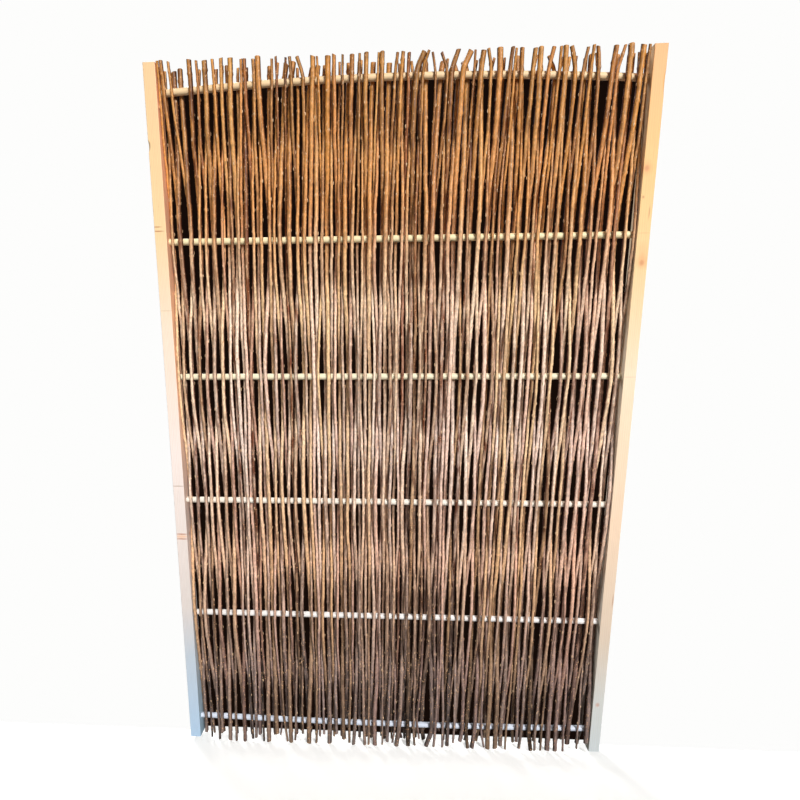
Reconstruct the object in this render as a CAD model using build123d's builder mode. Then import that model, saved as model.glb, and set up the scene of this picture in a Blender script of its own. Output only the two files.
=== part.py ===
from build123d import *
import os
from math import atan, copysign, cos, degrees, hypot, pi, sin, sqrt
from random import Random

# Woven willow fence panel: two planed posts, six round dowels let into them, and upright willow rods
# woven in front of one dowel and behind the next. X runs across the panel, Y from its front to its
# back and Z up, with the origin at the middle of its foot. All sizes are in millimetres.

# Frame
panel_width = 1200
post_height = 1800
post_width = 30
post_depth = 45
post_edge_radius = 1.5

# Shallow hollows in the posts' outer front edges, at heights above the posts' feet
left_hollow_height = 1620
left_hollow_length = 30
left_hollow_depth = 4
right_hollow_height = 1722
right_hollow_length = 66
right_hollow_depth = 3

# Dowels, from the top one down: how far the middle of each one stands above its ends
dowel_rises = [20, 0, 0, 0, 0, -8]
dowel_diameter = 16
dowel_end_distance = 60
socket_depth = 16
socket_clearance = 0.1
socket_end_gap = 0.8

# Willow rods
thick_end_diameter = 11.2
thick_end_spread = 3
thin_end_diameter = 6.4
thin_end_spread = 1.2
mean_rod_gap = 0.95
least_rod_gap = 0.4
weave_clearance = 0.3
rod_sides = 6
rods_per_bundle = 4
gap_unevenness = 3
gap_wander = 0.6
weave_seed = 41
settling_turns = 120

# How far the rods stray to one side or the other at each dowel, from the top one down
rod_strays = [4.5, 4, 3, 2.5, 3, 3.5]

# A wider gap between two rods near the left post, which closes some way below the top
opening_rod = 6
opening_width = 18
opening_reach = 700

# Free ends of the rods
rod_overhang = 12
rod_end_spring = 7
rod_top_above = 5
rod_top_below = 12
rod_foot_slant = 7
rod_foot_raggedness = 34
foot_unevenness = 4

# Sizes that follow from the ones above
panel_height = post_height + rod_overhang
inner_width = panel_width - 2 * post_width
half_inner = inner_width / 2
dowel_radius = dowel_diameter / 2
dowel_count = len(dowel_rises)
dowel_pitch = (post_height - 2 * dowel_end_distance) / (dowel_count - 1)
dowel_heights = [panel_height - dowel_end_distance - dowel_pitch * n for n in range(dowel_count)]
highest_top = panel_height + rod_top_above
levels = [highest_top] + dowel_heights + [0]
foot_level = dowel_count + 1
rod_pitch = (thick_end_diameter + thin_end_diameter) / 2 + mean_rod_gap
bundle_count = int(inner_width / rod_pitch / rods_per_bundle)
rod_count = bundle_count * rods_per_bundle
flat_share = cos(pi / rod_sides)

chance = Random(weave_seed)
os.makedirs("parts", exist_ok=True)


def save(part, label):
    """Names a finished piece and writes it to its own STEP file."""
    part.label = label
    export_step(part, f"parts/{label}.step")
    print(f"{label}: {len(part.solids())} solids, {part.volume / 1000:.1f} cm3")


def dowel_slope(n):
    """The angle at which dowel n leaves its sockets; its ends are straight."""
    return 2 * atan(dowel_rises[n] / half_inner)


def bow_radius(n):
    """The radius of the arc that a bowed dowel follows; negative where it sags."""
    rise = dowel_rises[n]
    return (half_inner**2 + rise**2) / (2 * rise)


def dowel_height(n, x):
    """How high the axis of dowel n runs at a place x between the posts."""
    rise = dowel_rises[n]
    if rise == 0:
        return dowel_heights[n]
    radius = bow_radius(n)
    return dowel_heights[n] + rise - radius + copysign(sqrt(radius**2 - x**2), rise)


def socket_mouth(side, n):
    """The plane of a socket's mouth, facing into the post along the end of dowel n."""
    slope = dowel_slope(n)
    return Plane((side * half_inner, 0, dowel_heights[n]), z_dir=(side * cos(slope), 0, -sin(slope)))


def make_dowel(n):
    """A round dowel: straight, or an arc between the posts that runs on straight into its sockets."""
    with BuildPart() as dowel:
        if dowel_rises[n] == 0:
            with BuildSketch(socket_mouth(1, n).offset(socket_depth)):
                Circle(dowel_radius)
            extrude(amount=-inner_width - 2 * socket_depth)
        else:
            bow_centre = (0, 0, dowel_heights[n] + dowel_rises[n] - bow_radius(n))
            with BuildSketch(socket_mouth(-1, n)):
                Circle(dowel_radius)
            revolve(axis=Axis(bow_centre, (0, 1, 0)), revolution_arc=degrees(2 * dowel_slope(n)))
            for side in (-1, 1):
                with BuildSketch(socket_mouth(side, n)):
                    Circle(dowel_radius)
                extrude(amount=socket_depth)
    return dowel.part


def make_post(side, hollow_height, hollow_length, hollow_depth):
    """A planed post with a blind socket for each dowel; side is -1 for the left one, 1 for the right."""
    with BuildPart() as post:
        with BuildSketch(Plane((side * (half_inner + post_width / 2), 0, rod_overhang))):
            RectangleRounded(post_width, post_depth, post_edge_radius)
        extrude(amount=post_height)

        # Each socket is bored into the inner face along the line of its dowel's end
        for n in range(dowel_count):
            with BuildSketch(socket_mouth(side, n).offset(-dowel_radius)):
                Circle(dowel_radius + socket_clearance)
            extrude(amount=dowel_radius + socket_depth + socket_end_gap, mode=Mode.SUBTRACT)

        # The hollow sinks into the outer front edge along the diagonal of the section
        edge_point = (side * panel_width / 2, -post_depth / 2, rod_overhang + hollow_height)
        with BuildSketch(Plane(edge_point, x_dir=(0, 0, 1), z_dir=(-1, -side, 0))):
            with BuildLine():
                half = hollow_length / 2
                ThreePointArc((-half, 0), (0, hollow_depth), (half, 0))
                Line((half, 0), (-half, 0))
            make_face()
        extrude(amount=post_width / 2, both=True, mode=Mode.SUBTRACT)
    return post.part


# Each rod has its own thick and thin end, and in each bundle half of the rods stand thick end up
thick_ends = [thick_end_diameter + thick_end_spread * chance.uniform(-1, 1) for n in range(rod_count)]
thin_ends = [thin_end_diameter + thin_end_spread * chance.uniform(-1, 1) for n in range(rod_count)]
upper_gaps = [chance.random() ** gap_unevenness for n in range(rod_count + 1)]
lower_gaps = [chance.random() ** gap_unevenness for n in range(rod_count + 1)]
rod_leans = [chance.gauss(0, 1) for n in range(rod_count)]
thick_end_up = []
for bundle in range(bundle_count):
    ends = [n % 2 == 0 for n in range(rods_per_bundle)]
    chance.shuffle(ends)
    thick_end_up += ends


def rod_radius(n, height):
    """Half the thickness of rod n at a height, on its even taper from end to end."""
    up_share = height / panel_height
    thick_share = up_share if thick_end_up[n] else 1 - up_share
    return (thin_ends[n] + (thick_ends[n] - thin_ends[n]) * thick_share) / 2


def rod_side(n, level):
    """On which side of the panel's middle plane rod n runs at a level: -1 in front, 1 behind."""
    crossed = min(max(level - 1, 0), dowel_count - 1)
    return -1 if (n + crossed) % 2 == 0 else 1


def rod_depth(n, level):
    """How far rod n is held from the middle plane by the dowel at a level, or by the nearest one."""
    return dowel_radius + weave_clearance + flat_share * rod_radius(n, levels[level])


def even_places(height):
    """Where each rod would stand at a height, if they stood side by side with uneven gaps."""
    share = height / panel_height
    weights = [
        upper * share + lower * (1 - share) + gap_wander * chance.random() ** gap_unevenness
        for upper, lower in zip(upper_gaps, lower_gaps)
    ]
    diameters = [2 * rod_radius(n, height) for n in range(rod_count)]
    opening = opening_width * max(0, 1 - (panel_height - height) / opening_reach)
    spare = inner_width - sum(diameters) - least_rod_gap * (rod_count + 1) - opening
    places = []
    edge = -half_inner
    for n, (weight, diameter) in enumerate(zip(weights, diameters)):
        edge += least_rod_gap + spare * weight / sum(weights)
        if n == opening_rod:
            edge += opening
        places.append(edge + diameter / 2)
        edge += diameter
    return places


def strayed_places():
    """The places at every level, with each rod strayed left at one dowel and right at the next."""
    places = [even_places(height) for height in levels]
    for level, stray in enumerate(rod_strays, 1):
        for n, lean in enumerate(rod_leans):
            places[level][n] += lean * stray * (-1) ** level

    # Past the last dowels, the rods lean on the way they came
    for end, last, before in ((0, 1, 2), (foot_level, foot_level - 1, foot_level - 2)):
        reach = (levels[end] - levels[last]) / (levels[last] - levels[before])
        pairs = zip(places[last], places[before])
        places[end] = [here + reach * (here - there) for here, there in pairs]
    return places


def passing(places, left, right, level):
    """How far apart two rods pass between a level and the next one down, and at which share of the way."""
    above, below = places[level], places[level + 1]
    x_start, x_end = above[right] - above[left], below[right] - below[left]
    y_start, y_end = [
        (rod_side(right, at) - rod_side(left, at)) * (rod_depth(right, at) + rod_depth(left, at)) / 2
        for at in (level, level + 1)
    ]
    x_run, y_run = x_end - x_start, y_end - y_start
    run = x_run**2 + y_run**2
    share = min(max(-(x_start * x_run + y_start * y_run) / run, 0), 1) if run > 0 else 0
    x_near = x_start + share * x_run
    return copysign(hypot(x_near, y_start + share * y_run), x_near), share


def part_rods(places, left, right, level):
    """Moves two rods aside if they pass too close between a level and the next one down."""
    distance, share = passing(places, left, right, level)
    ends = ((places[level], levels[level], 1 - share), (places[level + 1], levels[level + 1], share))
    needed = least_rod_gap + sum(
        weight * (rod_radius(left, height) + rod_radius(right, height)) for row, height, weight in ends
    )
    short = max(needed - distance, 0)
    for row, height, weight in ends:
        move = short * weight / (2 * ((1 - share) ** 2 + share**2))
        row[left] -= move
        row[right] += move


def settle(places):
    """Parts each rod from its next two neighbours, over and over, and keeps all between the posts."""
    for turn in range(settling_turns):
        for level in range(foot_level):
            for left in range(rod_count - 1):
                for right in range(left + 1, min(left + 3, rod_count)):
                    part_rods(places, left, right, level)
        for row, height in zip(places, levels):
            for n in range(rod_count):
                room = half_inner - least_rod_gap - rod_radius(n, height)
                row[n] = min(max(row[n], -room), room)
    return places


places_at = settle(strayed_places())


def rod_end(n, level, last, height):
    """The ring at a free end of rod n, which leans on from its last dowel and springs away from it."""
    x_last = places_at[last][n]
    height_last = dowel_height(last - 1, x_last)
    reach = (height - height_last) / (levels[level] - height_last)
    x = x_last + reach * (places_at[level][n] - x_last)
    radius = rod_radius(n, levels[level])
    held = rod_depth(n, level)
    sprung = min(held + rod_end_spring * chance.uniform(0.5, 1), post_depth / 2 - radius)
    return x, rod_side(n, level) * max(held, sprung), height, radius


def rod_rings(n):
    """The centre and radius of rod n at its foot, at each dowel that it crosses and at its top."""
    foot = rod_foot_slant * (places_at[foot_level][n] + half_inner) / inner_width
    foot += rod_foot_raggedness * chance.random() ** foot_unevenness
    top = highest_top - rod_top_above * chance.random()
    if rod_side(n, 0) > 0:
        top -= rod_top_below * chance.random()
    rings = [rod_end(n, foot_level, dowel_count, foot)]
    for level in range(dowel_count, 0, -1):
        x = places_at[level][n]
        y = rod_side(n, level) * rod_depth(n, level)
        rings.append((x, y, dowel_height(level - 1, x), rod_radius(n, levels[level])))
    rings.append(rod_end(n, 0, 1, top))
    return rings


def make_rod(n):
    """One rod, tapered from end to end and straight from each dowel to the next."""
    with BuildPart() as rod:
        for x, y, height, radius in rod_rings(n):
            with BuildSketch(Plane.XY.offset(height)):
                with Locations((x, y)):
                    RegularPolygon(radius, rod_sides)
        loft(ruled=True)
    rod.part.label = f"willow_rod_{n + 1:03d}"
    return rod.part


save(make_post(-1, left_hollow_height, left_hollow_length, left_hollow_depth), "left_post")
save(make_post(1, right_hollow_height, right_hollow_length, right_hollow_depth), "right_post")
for n in range(dowel_count):
    save(make_dowel(n), f"cross_dowel_{n + 1}")

# Neighbouring rods share a node, each one a solid of its own
for bundle in range(bundle_count):
    first = bundle * rods_per_bundle
    rods = [make_rod(n) for n in range(first, first + rods_per_bundle)]
    save(Compound(children=rods), f"willow_rods_{bundle + 1:02d}")
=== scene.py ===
# %% [markdown]
# # A woven willow fence panel
#
# The panel is a frame of two planed softwood posts with six round dowels let into them. Upright willow
# rods, with their bark still on, are sprung in front of one dowel and behind the next, so nothing but
# their own stiffness holds them. The posts and dowels arrive finished in shape from the CAD frame and
# only need a surface. The rods arrive as plain six-sided stems, and are rebuilt here as grown wood.

# %% Load the frame
import math
import random

import bmesh
import bpy
from mathutils import Matrix, Vector


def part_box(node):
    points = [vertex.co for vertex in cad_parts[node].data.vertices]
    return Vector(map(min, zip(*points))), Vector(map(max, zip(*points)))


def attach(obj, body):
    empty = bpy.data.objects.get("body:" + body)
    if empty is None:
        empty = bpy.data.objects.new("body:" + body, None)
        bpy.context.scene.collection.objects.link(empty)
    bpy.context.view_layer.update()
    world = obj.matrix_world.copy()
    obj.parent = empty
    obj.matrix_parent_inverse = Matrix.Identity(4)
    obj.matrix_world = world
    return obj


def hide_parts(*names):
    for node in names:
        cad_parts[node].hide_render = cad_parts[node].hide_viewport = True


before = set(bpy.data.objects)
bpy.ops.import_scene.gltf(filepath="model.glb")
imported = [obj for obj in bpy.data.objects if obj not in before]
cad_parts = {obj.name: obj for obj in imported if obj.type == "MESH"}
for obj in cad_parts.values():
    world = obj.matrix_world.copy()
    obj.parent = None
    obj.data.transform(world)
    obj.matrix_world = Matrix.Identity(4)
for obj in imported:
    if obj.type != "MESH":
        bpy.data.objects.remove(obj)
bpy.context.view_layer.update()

# %% [markdown]
# ## Measures from the frame
#
# Every size used below is read from the frame, so the looks stay on the construction if a size changes
# there. Blender works in metres here, and a workshop in millimetres, so one value converts them.

# %% Measures from the frame
MM = 0.001
post_low, post_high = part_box("left_post")
PANEL_HEIGHT = post_high.z
POST_FOOT = post_low.z
PANEL_DEPTH = post_high.y - post_low.y
HALF_WIDTH = -post_low.x
POST_WIDTH = post_high.x - post_low.x
dowel_nodes = sorted(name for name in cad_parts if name.startswith("cross_dowel"))
rod_nodes = sorted(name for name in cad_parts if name.startswith("willow_rods"))
straight_low, straight_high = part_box(dowel_nodes[1])
DOWEL_RADIUS = (straight_high.y - straight_low.y) / 2
print("Height", round(PANEL_HEIGHT / MM), "mm; width", round(2 * HALF_WIDTH / MM), "mm")
print(len(dowel_nodes), "dowels of", round(2 * DOWEL_RADIUS / MM), "mm;", len(rod_nodes), "bundles of rods")

# %% [markdown]
# ## Two small helpers
#
# Colours are written as sRGB hex, as a paint chart gives them, but shaders work in linear light. One
# function converts them. A second one adds a node to any tree, sets it and links it: a value that is
# itself a socket becomes a link, so a whole tree reads like a list of steps.

# %% Helpers for colours and nodes
def linear(hex_colour):
    """An sRGB hex colour as the linear RGBA that a shader works in."""
    shares = [int(hex_colour[place:place + 2], 16) / 255 for place in (0, 2, 4)]
    return [s / 12.92 if s <= 0.04045 else ((s + 0.055) / 1.055) ** 2.4 for s in shares] + [1.0]


def add(tree, kind, inputs=None, stops=(), **settings):
    """Adds a node, with its settings, its input values or links, and the stops of a colour ramp."""
    made = tree.nodes.new(kind)
    for name, value in settings.items():
        setattr(made, name, value)
    for key, value in (inputs or {}).items():
        if isinstance(value, bpy.types.NodeSocket):
            tree.links.new(value, made.inputs[key])
        else:
            made.inputs[key].default_value = value
    for number, (place, colour) in enumerate(stops):
        elements = made.color_ramp.elements
        stop = elements[number] if number < 2 else elements.new(place)
        stop.position = place
        stop.color = linear(colour)
    return made


print("A pale planed softwood is", [round(c, 2) for c in linear("f3dec0")[:3]], "in linear light")

# %% [markdown]
# ## Camera
#
# The photograph was taken near the panel's centre line at chest height, about 1.6 m away, with the lens
# turned a little down. Shift values keep the panel where the photograph has it in the frame without
# turning the camera further. The numbers come from matching the corners of the posts and the ends of the
# dowels.

# %% Camera
CAMERA_PLACE = Vector((-8.1, -1591.1, 1168.2)) * MM
CAMERA_TURN = math.radians(3.91)
CAMERA_TILT = math.radians(90 - 12.87)
CAMERA_ROLL = math.radians(-0.31)
CAMERA_LENS = 27.2
CAMERA_SHIFT = (0.0625, 0.1)

camera_data = bpy.data.cameras.new("front_camera")
camera_data.lens = CAMERA_LENS
camera_data.shift_x, camera_data.shift_y = CAMERA_SHIFT
camera = bpy.data.objects.new("front_camera", camera_data)
camera.matrix_world = (
    Matrix.Translation(CAMERA_PLACE)
    @ Matrix.Rotation(CAMERA_TURN, 4, "Z")
    @ Matrix.Rotation(CAMERA_TILT, 4, "X")
    @ Matrix.Rotation(CAMERA_ROLL, 4, "Z")
)
bpy.context.scene.collection.objects.link(camera)
bpy.context.scene.camera = camera
print("The camera stands", round(-CAMERA_PLACE.y / MM), "mm in front of the panel's middle plane")

# %% [markdown]
# ## Floor, backdrops and light
#
# A see-through panel shows what is behind it in every gap. Out of doors that is mostly shade, so a card
# of painted shade, an even near-black, stands close behind it, in front of the pale backdrop. It ends
# behind the top dowel, whose bow it follows, and a little above the rods' feet. The cards and the
# backdrops are drawn for the camera alone and only from the panel's side, so that the light passes them
# freely and a view from behind isn't blocked. The floor is plain and takes the panel's shadow. For the
# camera it is near white and glows a little, but for the light it is grey, so that it throws little of it
# up into the weave.

# %% Floor and backdrops
FLOOR_COLOUR = "f2f2f0"
FLOOR_BOUNCE_COLOUR = "8a8a88"
SHEET_COLOUR = "fdfdfc"
FLOOR_GLOW = 0.4
# Painted shade: the even near-black of the card that the gaps of the weave show
PAINTED_SHADE_COLOUR = "150c08"
CARD_GAP = 2 * MM
CARD_FOOT = 16 * MM
CARD_STEPS = 16
SHEET_GAP = 4 * MM
STAGE_REACH = 12.0


def make_sheet(name, corners, material):
    """A flat sheet with the given corners that belongs to the stage."""
    mesh = bpy.data.meshes.new(name)
    mesh.from_pydata(corners, [], [range(len(corners))])
    mesh.materials.append(material)
    sheet = bpy.data.objects.new(name, mesh)
    bpy.context.scene.collection.objects.link(sheet)


def make_backdrop(name, gap, outline, material):
    """A sheet that stands behind the panel and faces it, and its mirror image in front."""
    y = PANEL_DEPTH / 2 + gap
    make_sheet(name + "_behind", [(x, y, z) for x, z in outline], material)
    make_sheet(name + "_before", [(x, -y, z) for x, z in reversed(outline)], material)


def card_outline():
    """The card's corners as X and Z: a straight foot, and a top that bows as the top dowel does."""
    low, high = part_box(dowel_nodes[0])
    half_width = HALF_WIDTH - POST_WIDTH / 2
    bow = high.z - low.z - 2 * DOWEL_RADIUS
    outline = [(-half_width, CARD_FOOT), (half_width, CARD_FOOT)]
    for step in range(CARD_STEPS + 1):
        share = 1 - 2 * step / CARD_STEPS
        outline.append((half_width * share, low.z + 2 * DOWEL_RADIUS + bow * (1 - share**2)))
    return outline


def floor_material():
    """Matt studio paper, pale and glowing a little for the camera, and grey for all other rays."""
    material = bpy.data.materials.new("studio_floor_paper")
    material.use_nodes = True
    tree = material.node_tree
    tree.nodes.clear()
    seen = add(tree, "ShaderNodeLightPath").outputs["Is Camera Ray"]
    glow = add(tree, "ShaderNodeMath", {0: seen, 1: FLOOR_GLOW}, operation="MULTIPLY")
    colour = add(
        tree,
        "ShaderNodeMix",
        {0: seen, 6: linear(FLOOR_BOUNCE_COLOUR), 7: linear(FLOOR_COLOUR)},
        data_type="RGBA",
    )
    paper = add(tree, "ShaderNodeBsdfDiffuse", {"Color": colour.outputs[2]})
    shine = add(tree, "ShaderNodeEmission", {"Color": linear(FLOOR_COLOUR), "Strength": glow.outputs[0]})
    both = add(tree, "ShaderNodeAddShader", {0: paper.outputs[0], 1: shine.outputs[0]})
    add(tree, "ShaderNodeOutputMaterial", {"Surface": both.outputs[0]})
    return material


def backdrop_material(name, colour):
    """A plain even tone, which only the camera sees, and only from its front."""
    material = bpy.data.materials.new(name)
    material.use_nodes = True
    tree = material.node_tree
    tree.nodes.clear()
    camera_ray = add(tree, "ShaderNodeLightPath").outputs["Is Camera Ray"]
    side = add(tree, "ShaderNodeNewGeometry")
    front = add(tree, "ShaderNodeMath", {0: 1.0, 1: side.outputs["Backfacing"]}, operation="SUBTRACT")
    seen = add(tree, "ShaderNodeMath", {0: camera_ray, 1: front.outputs[0]}, operation="MULTIPLY")
    paper = add(tree, "ShaderNodeEmission", {"Color": linear(colour), "Strength": 1.0})
    clear = add(tree, "ShaderNodeBsdfTransparent")
    mixed = add(tree, "ShaderNodeMixShader", {0: seen.outputs[0], 1: clear.outputs[0], 2: paper.outputs[0]})
    add(tree, "ShaderNodeOutputMaterial", {"Surface": mixed.outputs[0]})
    return material


corner_signs = [(-1, -1), (1, -1), (1, 1), (-1, 1)]
floor_corners = [(x * STAGE_REACH, y * STAGE_REACH, 0) for x, y in corner_signs]
make_sheet("floor", floor_corners, floor_material())
wall_outline = [(x * STAGE_REACH, max(z, 0) * STAGE_REACH) for x, z in corner_signs]
make_backdrop("backdrop", SHEET_GAP, wall_outline, backdrop_material("studio_backdrop_paper", SHEET_COLOUR))
# The card is painted shade, which the gaps of the weave show
make_backdrop("painted_shade_card", CARD_GAP, card_outline(), backdrop_material("studio_painted_shade_card", PAINTED_SHADE_COLOUR))
print("The cards stand", round(CARD_GAP / MM), "mm off the panel")
print("The backdrops stand", round(SHEET_GAP / MM), "mm off it")

# %% [markdown]
# The light is that of a plain studio: a weak even surround, one soft lamp high on the right in front,
# and a weaker one behind for views from the back. Both are Sun lamps with a wide angle, which is a large
# softbox very far off: the shadows are soft, and the light is as strong at the top as at the foot. It
# comes from the side, so that the front rods shade those behind and every rod looks round. A white
# surface renders as white, so each colour comes out about as it is written.

# %% Light
WORLD_LIGHT = 0.08
LAMP_ANGLE = math.radians(20)
KEY_FROM, KEY_LEVEL = Vector((3.3, -7.4, 4.1)), 0.93
BACK_FROM, BACK_LEVEL = Vector((-3.0, 4.6, 5.3)), 0.5


def make_lamp(name, from_place, level):
    """A soft lamp that lights the panel's face to a share of full white."""
    facing = abs(from_place.y) / from_place.length
    data = bpy.data.lights.new(name, "SUN")
    data.angle = LAMP_ANGLE
    data.energy = level * math.pi / facing
    lamp = bpy.data.objects.new(name, data)
    lamp.location = from_place
    lamp.rotation_euler = (-from_place).to_track_quat("-Z", "Y").to_euler()
    bpy.context.scene.collection.objects.link(lamp)


def make_world():
    """An even white surround, plain white where the camera looks straight at it."""
    world = bpy.data.worlds.new("studio_surround")
    world.use_nodes = True
    tree = world.node_tree
    tree.nodes.clear()
    path = add(tree, "ShaderNodeLightPath")
    light = add(tree, "ShaderNodeBackground", {"Strength": WORLD_LIGHT})
    seen = add(tree, "ShaderNodeBackground", {"Strength": 1.0})
    for shader in (light, seen):
        shader.inputs["Color"].default_value = (1, 1, 1, 1)
    mixed = add(
        tree,
        "ShaderNodeMixShader",
        {0: path.outputs["Is Camera Ray"], 1: light.outputs[0], 2: seen.outputs[0]},
    )
    add(tree, "ShaderNodeOutputWorld", {"Surface": mixed.outputs[0]})
    bpy.context.scene.world = world


make_world()
make_lamp("key_lamp", KEY_FROM, KEY_LEVEL)
make_lamp("back_lamp", BACK_FROM, BACK_LEVEL)
bpy.context.scene.view_settings.view_transform = "Standard"
print("Two lamps and the surround are set")

# %% [markdown]
# ## Planed softwood for the posts
#
# The posts are spruce or pine, sawn so that the growth rings run nearly flat through them and planed
# smooth. What the eye gets from that is a pale cream ground, slightly darker narrow lines of late wood
# along the length, and a few knots. Rings are cylinders round the tree's pith, so the pattern here is a
# ring wave about a line outside the post, and it comes out right on the faces and on the sawn ends.
# The ground turns yellower towards the top and paler and cooler towards the foot, which is painted
# light: a warm sunlit top and a cool shaded foot.

# %% Softwood
LATE_WOOD = "dca468"
KNOT_COLOUR = "b8693a"
# At a scale of 1, the wave texture's rings lie this far apart
RING_WAVE = 2 * math.pi / 20
RING_WOBBLE = 0.6
LATE_WOOD_POWER = 3.0
SWAY_WIDTH, SWAY_LENGTH, SWAY_REACH = 50 * MM, 500 * MM, 6 * MM
FIBRE_WIDTH, FIBRE_LENGTH, FIBRE_RELIEF = 0.7 * MM, 60 * MM, 0.2 * MM
FIBRE_DARK, FIBRE_LIGHT = 0.93, 1.03
FIBRE_BUMP = 0.25
PLANED_ROUGHNESS = 0.52
KNOT_RIM, KNOT_HEART = 1.4, 0.2


def height_share(tree, place):
    """How high a point is on the panel, from 0 at the foot to 1 at the top."""
    split = add(tree, "ShaderNodeSeparateXYZ", {0: place})
    share = add(tree, "ShaderNodeMath", {0: split.outputs["Z"], 1: PANEL_HEIGHT}, operation="DIVIDE")
    return share.outputs[0]


def softwood(name, ground, along, pith, ring_spacing, ring_strength, knots=(), inner=None):
    """Planed softwood. along is the grain's axis, 0 for X or 2 for Z, and pith a point on the tree's axis.

    inner, where given, is the side that faces the rods, -1 or 1 along X, and the ground of that face.
    """
    material = bpy.data.materials.new(name)
    material.use_nodes = True
    tree = material.node_tree
    shader = tree.nodes["Principled BSDF"]
    coordinates = add(tree, "ShaderNodeTexCoord")
    place = coordinates.outputs["Object"]
    up = height_share(tree, place)
    tint = add(tree, "ShaderNodeValToRGB", {"Fac": up}, stops=ground).outputs[0]
    # The face towards the rods has a ground of its own, which paints the light that falls on that face
    if inner:
        towards, inner_ground = inner
        faces = add(tree, "ShaderNodeSeparateXYZ", {0: coordinates.outputs["Normal"]})
        inside = add(
            tree,
            "ShaderNodeMapRange",
            {"Value": faces.outputs["X"], "From Min": 0.6 * towards, "From Max": 0.9 * towards},
        )
        inner_tint = add(tree, "ShaderNodeValToRGB", {"Fac": up}, stops=inner_ground).outputs[0]
        tint = add(
            tree, "ShaderNodeMix", {0: inside.outputs[0], 6: tint, 7: inner_tint}, data_type="RGBA"
        ).outputs[2]

    # Growth rings about the pith, which sway slowly along the length
    sway_scale = [1 / SWAY_WIDTH] * 3
    sway_scale[along] = 1 / SWAY_LENGTH
    stretched = add(tree, "ShaderNodeMapping", {"Vector": place, "Scale": sway_scale})
    sway = add(tree, "ShaderNodeTexNoise", {"Vector": stretched.outputs[0], "Scale": 1.0, "Detail": 1.0})
    shift = add(
        tree, "ShaderNodeVectorMath", {0: sway.outputs["Color"], 1: (SWAY_REACH,) * 3}, operation="MULTIPLY"
    )
    swayed = add(tree, "ShaderNodeVectorMath", {0: place, 1: shift.outputs[0]}, operation="ADD")
    centred = add(tree, "ShaderNodeVectorMath", {0: swayed.outputs[0], 1: pith}, operation="SUBTRACT")
    rings = add(
        tree,
        "ShaderNodeTexWave",
        {
            "Vector": centred.outputs[0],
            "Scale": RING_WAVE / ring_spacing,
            "Distortion": RING_WOBBLE,
            "Detail": 1.0,
        },
        wave_type="RINGS",
        rings_direction="XYZ"[along],
        wave_profile="SAW",
    )
    late = add(tree, "ShaderNodeMath", {0: rings.outputs["Fac"], 1: LATE_WOOD_POWER}, operation="POWER")
    late_share = add(tree, "ShaderNodeMath", {0: late.outputs[0], 1: ring_strength}, operation="MULTIPLY")
    grained = add(
        tree,
        "ShaderNodeMix",
        {0: late_share.outputs[0], 6: tint, 7: linear(LATE_WOOD)},
        data_type="RGBA",
        blend_type="MULTIPLY",
    )

    # Fine fibres, drawn a little coarser than real ones so that they show
    fibre_scale = [1 / FIBRE_WIDTH] * 3
    fibre_scale[along] = 1 / FIBRE_LENGTH
    combed = add(tree, "ShaderNodeMapping", {"Vector": place, "Scale": fibre_scale})
    fibres = add(tree, "ShaderNodeTexNoise", {"Vector": combed.outputs[0], "Scale": 1.0, "Detail": 3.0})
    shade = add(
        tree,
        "ShaderNodeMapRange",
        {
            "Value": fibres.outputs["Fac"],
            "From Min": 0.3,
            "From Max": 0.7,
            "To Min": FIBRE_DARK,
            "To Max": FIBRE_LIGHT,
        },
    )
    brushed = add(
        tree, "ShaderNodeVectorMath", {0: grained.outputs[2], "Scale": shade.outputs[0]}, operation="SCALE"
    )
    colour = brushed.outputs[0]
    for centre, size, strength, knot_colour in knots:
        colour = knot(tree, place, colour, centre, size, strength, knot_colour)
    tree.links.new(colour, shader.inputs["Base Color"])
    shader.inputs["Roughness"].default_value = PLANED_ROUGHNESS
    relief = add(
        tree,
        "ShaderNodeBump",
        {"Strength": FIBRE_BUMP, "Distance": FIBRE_RELIEF, "Height": fibres.outputs["Fac"]},
    )
    tree.links.new(relief.outputs[0], shader.inputs["Normal"])
    return material


def knot(tree, place, colour, centre, size, strength, knot_colour):
    """Lays a knot or a streak over a wood colour: an ellipsoid that the surface cuts, with soft edges."""
    apart = add(tree, "ShaderNodeVectorMath", {0: place, 1: centre}, operation="SUBTRACT")
    scaled = add(tree, "ShaderNodeVectorMath", {0: apart.outputs[0], 1: size}, operation="DIVIDE")
    far = add(tree, "ShaderNodeVectorMath", {0: scaled.outputs[0]}, operation="LENGTH")
    share = add(
        tree,
        "ShaderNodeMapRange",
        {"Value": far.outputs["Value"], "From Min": KNOT_RIM, "From Max": KNOT_HEART, "To Max": strength},
        interpolation_type="SMOOTHSTEP",
    )
    laid = add(
        tree,
        "ShaderNodeMix",
        {0: share.outputs[0], 6: colour, 7: linear(knot_colour)},
        data_type="RGBA",
    )
    return laid.outputs[2]


print("The fibres are", round(FIBRE_WIDTH / MM, 1), "mm wide and", round(FIBRE_LENGTH / MM), "mm long")

# %% [markdown]
# Each post gets its own grounds and its own knots, at the heights where the real ones have them. A ground
# lists colours from the foot, 0, to the top, 1. A knot that the plane has cut along its length, a spike
# knot, is a thin line across the narrow front face. The heights and sizes of knots are in millimetres.

# %% Posts
FRONT = -PANEL_DEPTH / 2
SPIKE_DEPTH = 5
SPOT_STRETCH = 1.2
LEFT_MIDDLE = -HALF_WIDTH + POST_WIDTH / 2
RIGHT_MIDDLE = -LEFT_MIDDLE
# The grounds' change with height is painted light: a warm sunlit top and a cool shaded foot
left_ground = [
    (0.0, "b0cde8"),
    (0.15, "c2ced9"),
    (0.24, "e2d8d2"),
    (0.48, "fcede5"),
    (0.66, "ffe9d2"),
    (0.8, "fedda8"),
    (1.0, "fdd5a2"),
]
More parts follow.
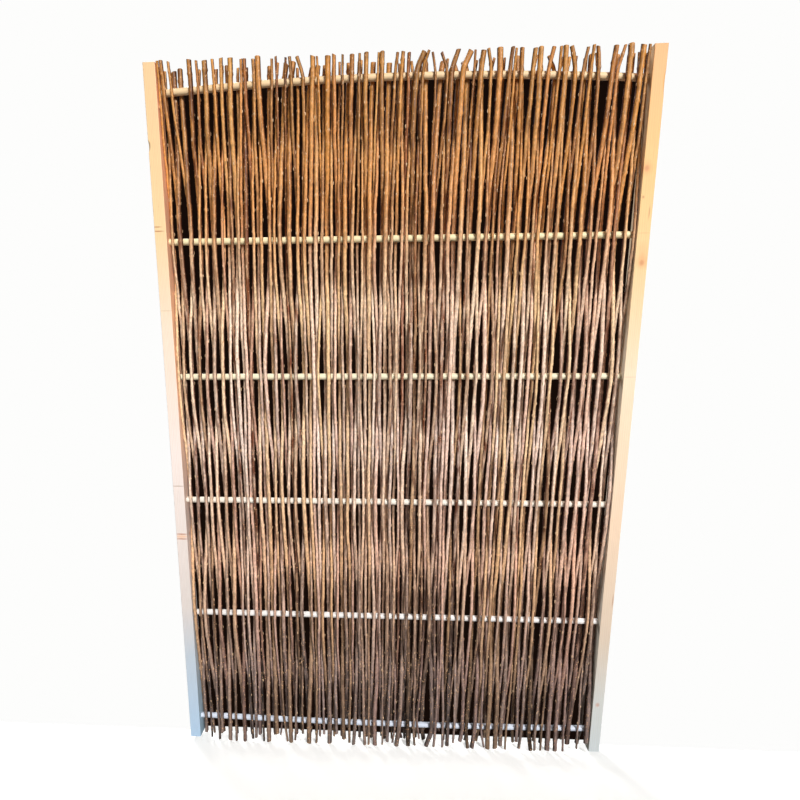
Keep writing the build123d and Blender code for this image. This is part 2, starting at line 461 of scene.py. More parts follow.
# Painted light: the left post's inner face is peach with the warm light that the rods throw back on it
left_inner_ground = [(0.0, "a4c6dc"), (0.2, "c2c8cc"), (0.38, "e2ccc0"), (0.62, "ffcaa4"), (1.0, "ffba90")]
right_ground = [
    (0.0, "ccd4d6"),
    (0.1, "d2d3ce"),
    (0.2, "e0cdb8"),
    (0.38, "fadcbe"),
    (0.6, "ffe8c6"),
    (0.74, "fcd59a"),
    (0.86, "faca80"),
    (1.0, "f8b470"),
]
# Painted light: the right post's inner face, which the lamp leaves in shade, is painted paler than its
# front
right_inner_ground = [(0.0, "c6cabe"), (0.4, "fbeedc"), (0.7, "fff0d4"), (1.0, "f4cc96")]


def across(middle, height, thickness, strength, colour=KNOT_COLOUR, reach=20):
    """A spike knot's line across a post's front face."""
    place = (middle, FRONT, POST_FOOT + height * MM)
    return place, (reach * MM, SPIKE_DEPTH * MM, thickness * MM), strength, colour


def spot(x, y, height, size, strength, colour=KNOT_COLOUR):
    """A round knot on a face of a post."""
    place = (x, y, POST_FOOT + height * MM)
    return place, (size * MM, size * MM, size * SPOT_STRETCH * MM), strength, colour


left_knots = [
    across(LEFT_MIDDLE - 8 * MM, 1437, 1.6, 0.75, reach=13),
    across(LEFT_MIDDLE - 6 * MM, 1427, 1.8, 0.75, reach=16),
    across(LEFT_MIDDLE, 1236, 1.2, 0.4, "b99a5a"),
    across(LEFT_MIDDLE, 775, 1.4, 0.8, "a98d74"),
    across(LEFT_MIDDLE, 638, 1.8, 0.9),
    across(LEFT_MIDDLE, 631, 5.0, 0.6, "f5b57e"),
    across(LEFT_MIDDLE, 624, 1.8, 0.9),
    spot(-HALF_WIDTH + POST_WIDTH, -4 * MM, 1109, 3.5, 0.6),
    spot(-HALF_WIDTH + POST_WIDTH, -2 * MM, 634, 6, 0.6),
]
right_knots = [
    spot(RIGHT_MIDDLE - 7 * MM, FRONT, 1545, 14, 0.45, "f0a060"),
    spot(RIGHT_MIDDLE - 7 * MM, FRONT, 1545, 6, 0.6, "d07c48"),
    spot(RIGHT_MIDDLE + 3 * MM, FRONT, 1341, 15, 0.5, "f0a060"),
    spot(RIGHT_MIDDLE + 2 * MM, FRONT, 1337, 6, 0.6, "d07c48"),
    spot(RIGHT_MIDDLE + 2 * MM, FRONT, 1366, 16, 0.25, "f0a868"),
    spot(RIGHT_MIDDLE - 9 * MM, FRONT, 1483, 3, 0.6),
    across(RIGHT_MIDDLE + 8 * MM, 1449, 16, 0.6, reach=1.6),
    across(RIGHT_MIDDLE, 1404, 1.0, 0.25),
    across(RIGHT_MIDDLE, 1067, 1.0, 0.3),
    spot(RIGHT_MIDDLE - 2 * MM, FRONT, 151, 6, 0.7, "c99a86"),
    across(RIGHT_MIDDLE + 12 * MM, 468, 20, 0.6, "a8644a", reach=1.6),
]
post_woods = {
    "left_post": softwood(
        "planed_spruce_left",
        left_ground,
        along=2,
        pith=(-640 * MM, 50 * MM, 0.0),
        ring_spacing=2.6 * MM,
        ring_strength=0.22,
        knots=left_knots,
        inner=(1, left_inner_ground),
    ),
    "right_post": softwood(
        "planed_spruce_right",
        right_ground,
        along=2,
        pith=(530 * MM, 60 * MM, 0.0),
        ring_spacing=3.1 * MM,
        ring_strength=0.16,
        knots=right_knots,
        inner=(-1, right_inner_ground),
    ),
}
for name, wood in post_woods.items():
    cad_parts[name].data.materials.clear()
    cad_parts[name].data.materials.append(wood)
print("The posts have", len(left_knots) + len(right_knots), "knots and streaks")

# %% [markdown]
# ## Dowels
#
# The dowels are machine-rounded softwood, sanded smoother than the posts and a shade paler. Their grain
# runs along X. They share one wood, whose ground follows the height as the posts' does, with the same
# painted light: warm at the top dowel and cool and bluish at the foot.

# %% Dowels
# Painted light: warm towards the top dowel, cool and bluish at the foot
dowel_ground = [
    (0.03, "d0d8e6"),
    (0.22, "f2eeea"),
    (0.42, "faf2e2"),
    (0.6, "faf0ce"),
    (0.79, "feedbc"),
    (0.97, "fcdaaa"),
]
dowel_wood = softwood(
    "rounded_spruce_dowel",
    dowel_ground,
    along=0,
    pith=(0.0, 20 * MM, -30 * MM),
    ring_spacing=2.2 * MM,
    ring_strength=0.06,
)
for name in dowel_nodes:
    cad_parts[name].data.materials.clear()
    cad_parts[name].data.materials.append(dowel_wood)
print(len(dowel_nodes), "dowels share", dowel_wood.name)

# %% [markdown]
# ## The routes of the rods
#
# A real rod bends in a smooth line from the front of one dowel to the back of the next. The CAD stems
# are straight from dowel to dowel, and hold the true places and thicknesses: each has a six-cornered
# section at its foot, at each dowel and at its top. Those sections are read back from the frame, and a
# smooth line is laid through their middles. It runs upright where it touches a dowel, as a sprung rod
# does, and is free in between.

# %% Read the rods from the frame
SECTION_CORNERS = 6
MERGE_DISTANCE = 0.02 * MM


def islands(shape):
    """The separate solids of a mesh, as lists of vertices in a fixed order."""
    left = {vertex.index for vertex in shape.verts}
    found = []
    for vertex in shape.verts:
        if vertex.index not in left:
            continue
        left.discard(vertex.index)
        island, edge = [], [vertex]
        while edge:
            at = edge.pop()
            island.append(at)
            for link in at.link_edges:
                other = link.other_vert(at)
                if other.index in left:
                    left.discard(other.index)
                    edge.append(other)
        found.append(island)
    return found


def read_sections(node):
    """Each rod of a bundle as its sections from the foot up: middle and half thickness."""
    shape = bmesh.new()
    shape.from_mesh(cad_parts[node].data)
    bmesh.ops.remove_doubles(shape, verts=shape.verts, dist=MERGE_DISTANCE)
    shape.verts.index_update()
    shape.verts.ensure_lookup_table()
    rods = []
    for island in islands(shape):
        ordered = sorted(island, key=lambda vertex: vertex.co.z)
        sections = []
        for start in range(0, len(ordered), SECTION_CORNERS):
            corners = [vertex.co for vertex in ordered[start:start + SECTION_CORNERS]]
            middle = sum(corners, Vector()) / len(corners)
            half = (max(c.x for c in corners) - min(c.x for c in corners)) / 2
            sections.append((middle, half))
        rods.append(sections)
    shape.free()
    return sorted(rods, key=lambda sections: sections[0][0].x)


bundles = {node: read_sections(node) for node in rod_nodes}
rod_total = sum(len(rods) for rods in bundles.values())
levels = {len(sections) for rods in bundles.values() for sections in rods}
print(rod_total, "rods, each with", levels, "sections")

# %% [markdown]
# The line between two sections is a cubic: it leaves one and reaches the next at given slopes. A round
# rod is thicker front to back than its six-sided stem, so its line is first moved out from the dowels.
# The free ends lean on the way they came, and spring away from the last dowel.

# %% The middle line of a rod
FLAT_SHARE = math.cos(math.pi / SECTION_CORNERS)


def cubic(a, b, slope_a, slope_b, share, length):
    """The value at a share of a cubic from a to b with the given slopes at its ends."""
    s2, s3 = share**2, share**3
    return (
        a * (2 * s3 - 3 * s2 + 1)
        + b * (3 * s2 - 2 * s3)
        + length * (slope_a * (s3 - 2 * s2 + share) + slope_b * (s3 - s2))
    )


def stem_of(sections):
    """A rod's points, its half thicknesses, and its slopes sideways and front to back at each point."""
    halves = [half for middle, half in sections]
    points = []
    for middle, half in sections:
        out = math.copysign(half * (1 - FLAT_SHARE), middle.y)
        points.append(Vector((middle.x, middle.y + out, middle.z)))
    slopes = []
    for number in range(len(points)):
        below, above = points[max(number - 1, 0)], points[min(number + 1, len(points) - 1)]
        run = (above - below) / (above.z - below.z)
        is_free = above == points[number] or below == points[number]
        slopes.append((run.x, run.y if is_free else 0.0))
    return points, halves, slopes


def place_on(stem, height):
    """The rod's middle and its half thickness at a height."""
    points, halves, slopes = stem
    number = 0
    while number < len(points) - 2 and height > points[number + 1].z:
        number += 1
    low, high = points[number], points[number + 1]
    length = high.z - low.z
    share = min(max((height - low.z) / length, 0), 1)
    x = cubic(low.x, high.x, slopes[number][0], slopes[number + 1][0], share, length)
    y = cubic(low.y, high.y, slopes[number][1], slopes[number + 1][1], share, length)
    return Vector((x, y, height)), halves[number] * (1 - share) + halves[number + 1] * share


stems = [stem_of(sections) for node in rod_nodes for sections in bundles[node]]
print(len(stems), "middle lines, the first one from", [round(c / MM) for c in stems[0][0][0]], "mm")

# %% [markdown]
# Buds sit along a rod every few centimetres, and it bends a little at each. It also wanders between
# them in two waves, a short one and a long one, as grown wood does, but only as far as its neighbours
# leave it room: each of two rods may take half of the gap between them.

# %% Lay out one rod
BUD_SPACING = (26 * MM, 56 * MM)
BUD_SHOULDER = 5 * MM
BUDLESS_TOP = 12 * MM
LEAST_STEP = 3 * MM
WANDER = 1.4 * MM
WAVE_LENGTHS = [(140 * MM, 220 * MM), (300 * MM, 520 * MM)]
WAVE_SHARES = [0.3, 0.7]
KINK = 0.5 * MM
SPIRAL = math.radians(144)
SPIRAL_STRAY = 0.4
NEIGHBOURS = 4


def room_for(number, middle, half):
    """How far a rod may stray to either side at a point of its middle line."""
    room = min(WANDER + KINK, HALF_WIDTH - POST_WIDTH - abs(middle.x) - half)
    for other in range(max(number - NEIGHBOURS, 0), min(number + NEIGHBOURS + 1, len(stems))):
        if other != number:
            its_middle, its_half = place_on(stems[other], middle.z)
            room = min(room, ((its_middle - middle).length - half - its_half) / 2)
    return max(room, 0)


def lay_rod(number, chance):
    """The points of one rod from its foot to its top, each with its half thickness, bud mark and turn."""
    foot, top = stems[number][0][0].z, stems[number][0][-1].z
    heights = [(foot, False)]
    bud = foot + chance.uniform(*BUD_SPACING)
    while bud < top - BUDLESS_TOP:
        step = chance.uniform(*BUD_SPACING)
        heights += [(bud - BUD_SHOULDER, False), (bud, True), (bud + BUD_SHOULDER, False)]
        heights.append((bud + step / 2, False))
        bud += step
    while heights[-1][0] > top - LEAST_STEP:
        heights.pop()
    heights.append((top, False))
    phases = [chance.uniform(0, 2 * math.pi) for span in WAVE_LENGTHS]
    lengths = [chance.uniform(*span) for span in WAVE_LENGTHS]
    turn = chance.uniform(0, 2 * math.pi)
    kink = 0.0
    points = []
    for height, is_bud in heights:
        middle, half = place_on(stems[number], height)
        if is_bud:
            turn += SPIRAL + chance.uniform(-SPIRAL_STRAY, SPIRAL_STRAY)
            kink = chance.uniform(-KINK, KINK)
        stray = kink
        for phase, length, share in zip(phases, lengths, WAVE_SHARES):
            stray += WANDER * share * math.sin(phase + 2 * math.pi * height / length)
        room = room_for(number, middle, half)
        middle.x += min(max(stray, -room), room)
        points.append((middle, half, is_bud, turn))
    return points


test_rod = lay_rod(0, random.Random(1))
test_buds = sum(is_bud for middle, half, is_bud, turn in test_rod)
print("One rod has", len(test_rod), "points and", test_buds, "buds")

# %% [markdown]
# ## Bark
#
# The rods are one-year willow, dried with the bark on. Bark is smooth and slightly waxy, so it has a
# long soft highlight, and it blisters and wrinkles as it dries. Its colour runs from golden brown at
# the top of the panel to a paler tan half way down and grey at the foot: partly the bark's own colour,
# partly painted light, a warm sunlit top and a cool shaded foot. Each rod has its own tone, light or
# dark, and its own cast, creamy or rosy, and pale pores dot it. Tone and cast are attributes, because no
# two rods are alike. The flanks that the rods turn to each other, which the surface's own direction
# tells, are painted darker and redder than the faces to the front and back: painted shade, where the
# rods shade each other. The rest is noise on object coordinates, drawn out along Z as the rods stand.

# %% Bark
PATCH_WIDTH, PATCH_LENGTH = 7 * MM, 55 * MM
PATCH_LIGHTEST, PATCH_DARKEST = -0.3, 0.4
FLANK_START, FLANK_FULL = 0.8, 0.3
BLISTER_WIDTH, BLISTER_LENGTH = 4 * MM, 9 * MM
BLISTER_DARK, BLISTER_LIGHT = 0.78, 1.2
WRINKLE_WIDTH, WRINKLE_LENGTH, WRINKLE_RELIEF = 0.9 * MM, 26 * MM, 0.25 * MM
WRINKLE_DARK, WRINKLE_LIGHT = 0.78, 1.18
WRINKLE_BUMP = 0.5
PORE_SPACING = 8 * MM
PORE_RIM, PORE_HEART, PORE_STRENGTH = 0.24, 0.14, 0.7
BARK_ROUGHNESS = 0.5
# The change with height is partly the bark's own colour, partly painted light: a sunlit top, a shaded foot
bark_ground = [
    (0.0, "8a7973"),
    (0.13, "a68e84"),
    (0.32, "f6d2b8"),
    (0.50, "ffe8d6"),
    (0.70, "ffe4c6"),
    (0.82, "eaac6a"),
    (1.0, "d4984c"),
]
bark_dark = [
    (0.0, "120a07"),
    (0.13, "1c110b"),
    (0.32, "502a14"),
    (0.50, "6c3616"),
    (0.70, "804214"),
    (0.82, "703a10"),
    (1.0, "62340e"),
]
bark_cast = [(0.0, "f6e4c0"), (0.3, "fff2de"), (0.65, "ffffff"), (0.9, "fff0ec"), (1.0, "fadccc")]
# Painted shade on the flanks that the rods turn to each other
FLANK_PAINTED_SHADE = "6c3210"
PORE_COLOUR = "e8b07c"


def bark_material():
    """Dried willow bark."""
    material = bpy.data.materials.new("willow_bark_dried_on_the_rod")
    material.use_nodes = True
    tree = material.node_tree
    shader = tree.nodes["Principled BSDF"]
    coordinates = add(tree, "ShaderNodeTexCoord")
    place = coordinates.outputs["Object"]
    tone = add(tree, "ShaderNodeAttribute", attribute_name="tone").outputs["Fac"]
    cast = add(tree, "ShaderNodeAttribute", attribute_name="cast").outputs["Fac"]
    up = height_share(tree, place)
    light = add(tree, "ShaderNodeValToRGB", {"Fac": up}, stops=bark_ground)
    dark = add(tree, "ShaderNodeValToRGB", {"Fac": up}, stops=bark_dark)
    cast_tint = add(tree, "ShaderNodeValToRGB", {"Fac": cast}, stops=bark_cast)

    # Each rod's own tone and cast, with blotches a few centimetres long
    stretched = add(
        tree,
        "ShaderNodeMapping",
        {"Vector": place, "Scale": (1 / PATCH_WIDTH, 1 / PATCH_WIDTH, 1 / PATCH_LENGTH)},
    )
    patches = add(tree, "ShaderNodeTexNoise", {"Vector": stretched.outputs[0], "Scale": 1.0, "Detail": 3.0})
    patchy = add(
        tree,
        "ShaderNodeMapRange",
        {
            "Value": patches.outputs["Fac"],
            "From Min": 0.35,
            "From Max": 0.7,
            "To Min": PATCH_LIGHTEST,
            "To Max": PATCH_DARKEST,
        },
    )
    darkness = add(tree, "ShaderNodeMath", {0: tone, 1: patchy.outputs[0]}, operation="ADD", use_clamp=True)
    toned = add(
        tree,
        "ShaderNodeMix",
        {0: darkness.outputs[0], 6: light.outputs[0], 7: dark.outputs[0]},
        data_type="RGBA",
    )
    tinted = add(
        tree,
        "ShaderNodeMix",
        {0: 1.0, 6: toned.outputs[2], 7: cast_tint.outputs[0]},
        data_type="RGBA",
        blend_type="MULTIPLY",
    )

    # Painted shade: the flanks that the rods turn to each other are darker and redder
    faces = add(tree, "ShaderNodeSeparateXYZ", {0: coordinates.outputs["Normal"]})
    front_facing = add(tree, "ShaderNodeMath", {0: faces.outputs["Y"]}, operation="ABSOLUTE")
    flank = add(
        tree,
        "ShaderNodeMapRange",
        {"Value": front_facing.outputs[0], "From Min": FLANK_START, "From Max": FLANK_FULL},
        interpolation_type="SMOOTHSTEP",
    )
    flanked = add(
        tree,
        "ShaderNodeMix",
        {0: flank.outputs[0], 6: tinted.outputs[2], 7: linear(FLANK_PAINTED_SHADE)},
        data_type="RGBA",
        blend_type="MULTIPLY",
    )

    # Blisters where the bark has lifted
    squat = add(
        tree,
        "ShaderNodeMapping",
        {"Vector": place, "Scale": (1 / BLISTER_WIDTH, 1 / BLISTER_WIDTH, 1 / BLISTER_LENGTH)},
    )
    blisters = add(tree, "ShaderNodeTexNoise", {"Vector": squat.outputs[0], "Scale": 1.0, "Detail": 1.0})
    mottle = add(
        tree,
        "ShaderNodeMapRange",
        {
            "Value": blisters.outputs["Fac"],
            "From Min": 0.34,
            "From Max": 0.66,
            "To Min": BLISTER_DARK,
            "To Max": BLISTER_LIGHT,
        },
    )
    mottled = add(
        tree, "ShaderNodeVectorMath", {0: flanked.outputs[2], "Scale": mottle.outputs[0]}, operation="SCALE"
    )

    # Wrinkles along the rod
    combed = add(
        tree,
        "ShaderNodeMapping",
        {"Vector": place, "Scale": (1 / WRINKLE_WIDTH, 1 / WRINKLE_WIDTH, 1 / WRINKLE_LENGTH)},
    )
    wrinkles = add(tree, "ShaderNodeTexNoise", {"Vector": combed.outputs[0], "Scale": 1.0, "Detail": 4.0})
    shade = add(
        tree,
        "ShaderNodeMapRange",
        {
            "Value": wrinkles.outputs["Fac"],
            "From Min": 0.3,
            "From Max": 0.7,
            "To Min": WRINKLE_DARK,
            "To Max": WRINKLE_LIGHT,
        },
    )
    wrinkled = add(
        tree, "ShaderNodeVectorMath", {0: mottled.outputs[0], "Scale": shade.outputs[0]}, operation="SCALE"
    )

    # Pores, drawn larger than real ones so that they show
    pores = add(tree, "ShaderNodeTexVoronoi", {"Vector": place, "Scale": 1 / PORE_SPACING})
    dots = add(
        tree,
        "ShaderNodeMapRange",
        {
            "Value": pores.outputs["Distance"],
            "From Min": PORE_RIM,
            "From Max": PORE_HEART,
            "To Max": PORE_STRENGTH,
        },
    )
    dotted = add(
        tree,
        "ShaderNodeMix",
        {0: dots.outputs[0], 6: wrinkled.outputs[0], 7: linear(PORE_COLOUR)},
        data_type="RGBA",
    )
    tree.links.new(dotted.outputs[2], shader.inputs["Base Color"])
    shader.inputs["Roughness"].default_value = BARK_ROUGHNESS
    relief = add(
        tree,
        "ShaderNodeBump",
        {"Strength": WRINKLE_BUMP, "Distance": WRINKLE_RELIEF, "Height": wrinkles.outputs["Fac"]},
    )
    tree.links.new(relief.outputs[0], shader.inputs["Normal"])
    return material


bark = bark_material()
print(bark.name, "has", len(bark.node_tree.nodes), "nodes")

# %% [markdown]
# The buds' scales, the ends that the shears have cut and the pith in the middle of them are too small for
# more than two colours each, mixed by fine noise.

# %% Bud scales, cut wood and pith
def plain_finish(name, light, dark, grain, roughness):
    """A small surface: two colours mixed by noise of one grain size."""
    material = bpy.data.materials.new(name)
    material.use_nodes = True
    tree = material.node_tree
    shader = tree.nodes["Principled BSDF"]
    place = add(tree, "ShaderNodeTexCoord").outputs["Object"]
    noise = add(tree, "ShaderNodeTexNoise", {"Vector": place, "Scale": 1 / grain, "Detail": 3.0})
    mixed = add(
        tree,
        "ShaderNodeMix",
        {0: noise.outputs["Fac"], 6: linear(light), 7: linear(dark)},
        data_type="RGBA",
    )
    tree.links.new(mixed.outputs[2], shader.inputs["Base Color"])
    shader.inputs["Roughness"].default_value = roughness
    return material


bud_scale = plain_finish("willow_bud_scale", "fbe0ba", "c08a56", grain=2.0 * MM, roughness=0.5)
cut_wood = plain_finish("willow_cut_with_shears", "e0c598", "b8935f", grain=0.8 * MM, roughness=0.75)
pith = plain_finish("willow_pith", "a67a4c", "7d5632", grain=0.8 * MM, roughness=0.85)
print("Three small finishes:", bud_scale.name, cut_wood.name, pith.name)

# %% [markdown]
# ## Growing the rods with Geometry Nodes
#
# Every rod is the same thing along a different line: a round skin, two cut ends and buds that climb it
# in a spiral. That is what Geometry Nodes are for. The script hands the tree plain lines whose points
# carry attributes, such as a half thickness and a bud mark. First come the values that the tree offers
# to whoever uses it.

# %% The tree's inputs
BARK_SIDES = 10
NODE_SWELL = 1.16
BUD_LENGTH = 8.5 * MM
BUD_WIDTH = 3.6 * MM
PITH_SHARE = 0.22


def tree_inputs(tree):
    wanted = [
        ("Lines", "NodeSocketGeometry", None),
        ("Sides", "NodeSocketInt", BARK_SIDES),
        ("Node swell", "NodeSocketFloat", NODE_SWELL),
        ("Bud length", "NodeSocketFloat", BUD_LENGTH),
        ("Bud width", "NodeSocketFloat", BUD_WIDTH),
        ("Pith share", "NodeSocketFloat", PITH_SHARE),
        ("Bark", "NodeSocketMaterial", bark),
        ("Bud scale", "NodeSocketMaterial", bud_scale),
        ("Cut wood", "NodeSocketMaterial", cut_wood),
        ("Pith", "NodeSocketMaterial", pith),
    ]
    for name, kind, value in wanted:
        socket = tree.interface.new_socket(name, in_out="INPUT", socket_type=kind)
        if value is not None:
            socket.default_value = value
    tree.interface.new_socket("Rods", in_out="OUTPUT", socket_type="NodeSocketGeometry")
    return add(tree, "NodeGroupInput").outputs


print("A rod has", BARK_SIDES, "sides, and its buds are", round(BUD_LENGTH / MM, 1), "mm long")

# %% [markdown]
# The skin is a circle drawn along each line, a little thicker where a bud sits. The only faces with more
# than four corners are the cut ends. They are moved into a slanting plane, as shears leave them, and get
# a small pith in their middle.

# %% The skin
def skin_of(tree, values, curve):
    """The bark and the cut ends: a tube along each line, thicker at its buds."""
    radius = add(tree, "GeometryNodeInputNamedAttribute", {"Name": "radius"}, data_type="FLOAT")
    marked = add(tree, "GeometryNodeInputNamedAttribute", {"Name": "bud"}, data_type="BOOLEAN")
    swell = add(
        tree,
        "GeometryNodeSwitch",
        {"Switch": marked.outputs[0], "False": 1.0, "True": values["Node swell"]},
        input_type="FLOAT",
    )
    thick = add(tree, "ShaderNodeMath", {0: radius.outputs[0], 1: swell.outputs[0]}, operation="MULTIPLY")
    circle = add(
        tree,
        "GeometryNodeCurvePrimitiveCircle",
        {"Resolution": values["Sides"], "Radius": 1.0},
        mode="RADIUS",
    )
    tube = add(
        tree,
        "GeometryNodeCurveToMesh",
        {"Curve": curve, "Profile Curve": circle.outputs[0], "Scale": thick.outputs[0], "Fill Caps": True},
    )
    corners = add(tree, "GeometryNodeInputMeshFaceNeighbors")
    is_end = add(
        tree,
        "FunctionNodeCompare",
        {2: corners.outputs["Vertex Count"], 3: 4},
        data_type="INT",
        operation="GREATER_THAN",
    )
    place = add(tree, "GeometryNodeInputPosition").outputs[0]
    middle = add(tree, "GeometryNodeInputNamedAttribute", {"Name": "middle"}, data_type="FLOAT_VECTOR")
    slant = add(tree, "GeometryNodeInputNamedAttribute", {"Name": "slant"}, data_type="FLOAT_VECTOR")
    out = add(tree, "ShaderNodeVectorMath", {0: place, 1: middle.outputs[0]}, operation="SUBTRACT")
    rise = add(
        tree, "ShaderNodeVectorMath", {0: out.outputs[0], 1: slant.outputs[0]}, operation="DOT_PRODUCT"
    )
    lift = add(tree, "ShaderNodeCombineXYZ", {"Z": rise.outputs["Value"]})
    cut = add(
        tree,
        "GeometryNodeSetPosition",
        {"Geometry": tube.outputs[0], "Selection": is_end.outputs[0], "Offset": lift.outputs[0]},
    )
    barked = add(tree, "GeometryNodeSetMaterial", {"Geometry": cut.outputs[0], "Material": values["Bark"]})
    faced = add(
        tree,
        "GeometryNodeSetMaterial",
        {"Geometry": barked.outputs[0], "Selection": is_end.outputs[0], "Material": values["Cut wood"]},
    )
    inset = add(
        tree,
        "GeometryNodeExtrudeMesh",
        {"Mesh": faced.outputs[0], "Selection": is_end.outputs[0], "Offset Scale": 0.0},
        mode="FACES",
    )
    small = add(
        tree,
        "GeometryNodeScaleElements",
        {"Geometry": inset.outputs[0], "Selection": inset.outputs["Top"], "Scale": values["Pith share"]},
    )
    pithed = add(
        tree,
        "GeometryNodeSetMaterial",
        {"Geometry": small.outputs[0], "Selection": inset.outputs["Top"], "Material": values["Pith"]},
    )
    bark_faces = add(
        tree,
        "FunctionNodeBooleanMath",
        {0: inset.outputs["Top"], 1: inset.outputs["Side"]},
        operation="NOR",
    )
    return add(
        tree,
        "GeometryNodeSetShadeSmooth",
        {"Geometry": pithed.outputs[0], "Selection": bark_faces.outputs[0], "Shade Smooth": True},
    ).outputs[0]


print("The pith takes", PITH_SHARE, "of a cut end's width")

# %% [markdown]
# A bud is a small ball drawn out to a blunt tip. One stands on each marked point of a line, pressed
# against the bark on the side that the spiral gives, with its tip towards the rod's thin end.

# %% The buds
BUD_SEGMENTS, BUD_RINGS = 6, 5
BUD_TAPER_START, BUD_TIP_SHARE = -0.4, 0.35


def bud_shape(tree, values):
    """One bud: a small ball drawn out to a blunt tip along Z."""
    ball = add(
        tree, "GeometryNodeMeshUVSphere", {"Segments": BUD_SEGMENTS, "Rings": BUD_RINGS, "Radius": 1.0}
    )
    place = add(tree, "GeometryNodeInputPosition").outputs[0]
    split = add(tree, "ShaderNodeSeparateXYZ", {0: place})
    taper = add(
        tree,
        "ShaderNodeMapRange",
        {
            "Value": split.outputs["Z"],
            "From Min": BUD_TAPER_START,
            "From Max": 1.0,
            "To Min": 1.0,
            "To Max": BUD_TIP_SHARE,
        },
    )
    half_width = add(tree, "ShaderNodeMath", {0: values["Bud width"], 1: 0.5}, operation="MULTIPLY")
    half_length = add(tree, "ShaderNodeMath", {0: values["Bud length"], 1: 0.5}, operation="MULTIPLY")
    girth = add(
        tree, "ShaderNodeMath", {0: taper.outputs[0], 1: half_width.outputs[0]}, operation="MULTIPLY"
    )
    sizes = add(
        tree,
        "ShaderNodeCombineXYZ",
        {"X": girth.outputs[0], "Y": girth.outputs[0], "Z": half_length.outputs[0]},
    )
    drawn = add(tree, "ShaderNodeVectorMath", {0: place, 1: sizes.outputs[0]}, operation="MULTIPLY")
    shaped = add(
        tree, "GeometryNodeSetPosition", {"Geometry": ball.outputs[0], "Position": drawn.outputs[0]}
    )
    smooth = add(tree, "GeometryNodeSetShadeSmooth", {"Geometry": shaped.outputs[0], "Shade Smooth": True})
    return add(
        tree, "GeometryNodeSetMaterial", {"Geometry": smooth.outputs[0], "Material": values["Bud scale"]}
    ).outputs[0]


def buds_on(tree, values, lines):
    """A bud on each marked point, pressed against the bark on the side that the spiral gives."""
    marked = add(tree, "GeometryNodeInputNamedAttribute", {"Name": "bud"}, data_type="BOOLEAN")
    outward = add(tree, "GeometryNodeInputNamedAttribute", {"Name": "outward"}, data_type="FLOAT_VECTOR")
    tip = add(tree, "GeometryNodeInputNamedAttribute", {"Name": "tip"}, data_type="FLOAT_VECTOR")
    size = add(tree, "GeometryNodeInputNamedAttribute", {"Name": "bud_size"}, data_type="FLOAT")
    radius = add(tree, "GeometryNodeInputNamedAttribute", {"Name": "radius"}, data_type="FLOAT")
    upright = add(tree, "FunctionNodeAlignRotationToVector", {"Vector": tip.outputs[0]}, axis="Z")
    turned = add(
        tree,
        "FunctionNodeAlignRotationToVector",
        {"Rotation": upright.outputs[0], "Vector": outward.outputs[0]},
        axis="X",
        pivot_axis="Z",
    )
    reach_out = add(
        tree, "ShaderNodeVectorMath", {0: outward.outputs[0], "Scale": radius.outputs[0]}, operation="SCALE"
    )
    moved = add(
        tree,
        "GeometryNodeSetPosition",
        {"Geometry": lines, "Selection": marked.outputs[0], "Offset": reach_out.outputs[0]},
    )
    sown = add(
        tree,
        "GeometryNodeInstanceOnPoints",
        {
            "Points": moved.outputs[0],
            "Selection": marked.outputs[0],
            "Instance": bud_shape(tree, values),
            "Rotation": turned.outputs[0],
            "Scale": size.outputs[0],
        },
    )
    return sown.outputs[0]


print("A bud has", BUD_SEGMENTS * (BUD_RINGS - 1) * 2, "triangles")

# %% [markdown]
# The whole tree joins skin and buds, and hands on one plain mesh.

# %% The whole tree
def rod_tree():
    """Lines in, finished rods out."""
    tree = bpy.data.node_groups.new("grown_willow_rods", "GeometryNodeTree")
    values = tree_inputs(tree)
    curve = add(tree, "GeometryNodeMeshToCurve", {"Mesh": values["Lines"]})
    joined = add(tree, "GeometryNodeJoinGeometry")
    tree.links.new(buds_on(tree, values, values["Lines"]), joined.inputs[0])
    tree.links.new(skin_of(tree, values, curve.outputs[0]), joined.inputs[0])
    real = add(tree, "GeometryNodeRealizeInstances", {"Geometry": joined.outputs[0]})
    add(tree, "NodeGroupOutput", {0: real.outputs[0]})
    return tree


grower = rod_tree()
print(grower.name, "has", len(grower.nodes), "nodes")

# %% [markdown]
# ## Growing all the bundles
#
# Each bundle's lines become one object with the tree on it. The evaluated result is turned into a plain
# mesh, the modifier goes, and the finished piece stands for its CAD node and rides with the panel. Which
# end of a rod is thick shows which way it grew, and so which way its buds point.

# %% Grow the bundles
ROD_SEED = 7
TONE_MIDDLE, TONE_SPREAD = 0.24, 0.28
SLANT = 0.45
BUD_SIZES = (0.6, 1.15)
BUD_LEAN = 0.18
POINT_ATTRIBUTES = [
    ("radius", "FLOAT"),
    ("bud", "BOOLEAN"),
    ("tone", "FLOAT"),
    ("cast", "FLOAT"),
    ("bud_size", "FLOAT"),
    ("middle", "FLOAT_VECTOR"),
    ("slant", "FLOAT_VECTOR"),
    ("outward", "FLOAT_VECTOR"),
    ("tip", "FLOAT_VECTOR"),
]


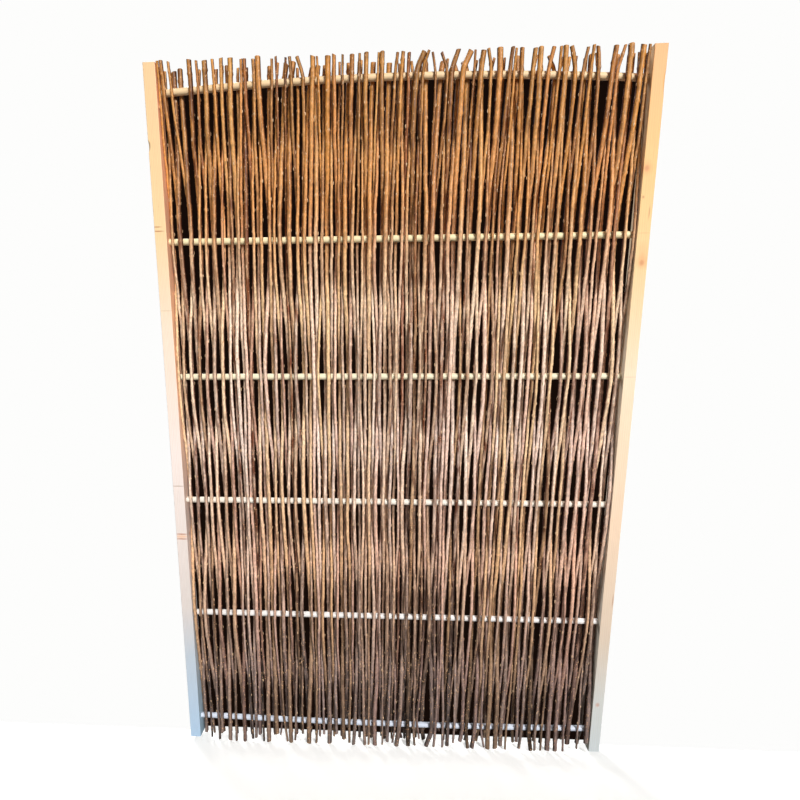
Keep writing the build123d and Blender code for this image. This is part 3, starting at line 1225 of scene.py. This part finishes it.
def lines_mesh(name, numbers, chance):
    """Some rods as plain lines, with all that the tree and the bark need on their points."""
    points, edges = [], []
    values = {attribute: [] for attribute, kind in POINT_ATTRIBUTES}
    for number in numbers:
        laid = lay_rod(number, chance)
        growth = 1 if laid[0][1] > laid[-1][1] else -1
        tone = min(max(chance.gauss(TONE_MIDDLE, TONE_SPREAD), 0), 1)
        cast = chance.random()
        direction = chance.uniform(0, 2 * math.pi)
        slant = Vector((math.cos(direction), math.sin(direction), 0)) * chance.uniform(0, SLANT)
        start = len(points)
        edges += [(start + step, start + step + 1) for step in range(len(laid) - 1)]
        for middle, half, is_bud, turn in laid:
            outward = Vector((math.cos(turn), math.sin(turn), 0))
            points.append(middle)
            values["radius"].append(half)
            values["bud"].append(is_bud)
            values["tone"].append(tone)
            values["cast"].append(cast)
            values["bud_size"].append(chance.uniform(*BUD_SIZES))
            values["middle"].append(middle)
            values["slant"].append(slant)
            values["outward"].append(outward)
            values["tip"].append(Vector((0, 0, growth)) + outward * BUD_LEAN)
    mesh = bpy.data.meshes.new(name)
    mesh.from_pydata(points, edges, [])
    for attribute, kind in POINT_ATTRIBUTES:
        layer = mesh.attributes.new(attribute, kind, "POINT")
        if kind == "FLOAT_VECTOR":
            layer.data.foreach_set("vector", [c for v in values[attribute] for c in v])
        else:
            layer.data.foreach_set("value", values[attribute])
    return mesh


def grow(node, numbers, chance):
    """Makes the finished piece that stands for one bundle's CAD node."""
    name = node.replace("willow_rods", "grown_rods")
    seed_object = bpy.data.objects.new(name + "_lines", lines_mesh(name + "_lines", numbers, chance))
    bpy.context.scene.collection.objects.link(seed_object)
    modifier = seed_object.modifiers.new("grow", "NODES")
    modifier.node_group = grower
    for item in grower.interface.items_tree:
        if item.item_type == "SOCKET" and item.in_out == "INPUT" and item.name != "Lines":
            modifier[item.identifier] = item.default_value
    depsgraph = bpy.context.evaluated_depsgraph_get()
    mesh = bpy.data.meshes.new_from_object(seed_object.evaluated_get(depsgraph))
    bpy.data.objects.remove(seed_object)
    for attribute, kind in POINT_ATTRIBUTES:
        if attribute not in ("tone", "cast") and attribute in mesh.attributes:
            mesh.attributes.remove(mesh.attributes[attribute])
    mesh.name = name
    piece = bpy.data.objects.new(name, mesh)
    bpy.context.scene.collection.objects.link(piece)
    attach(piece, "root")
    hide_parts(node)
    return piece


chance = random.Random(ROD_SEED)
grown = []
first = 0
for node in rod_nodes:
    after = first + len(bundles[node])
    grown.append(grow(node, range(first, after), chance))
    first = after
triangles = [sum(len(polygon.vertices) - 2 for polygon in piece.data.polygons) for piece in grown]
print(len(grown), "bundles with", sum(triangles), "triangles, at most", max(triangles), "in one")
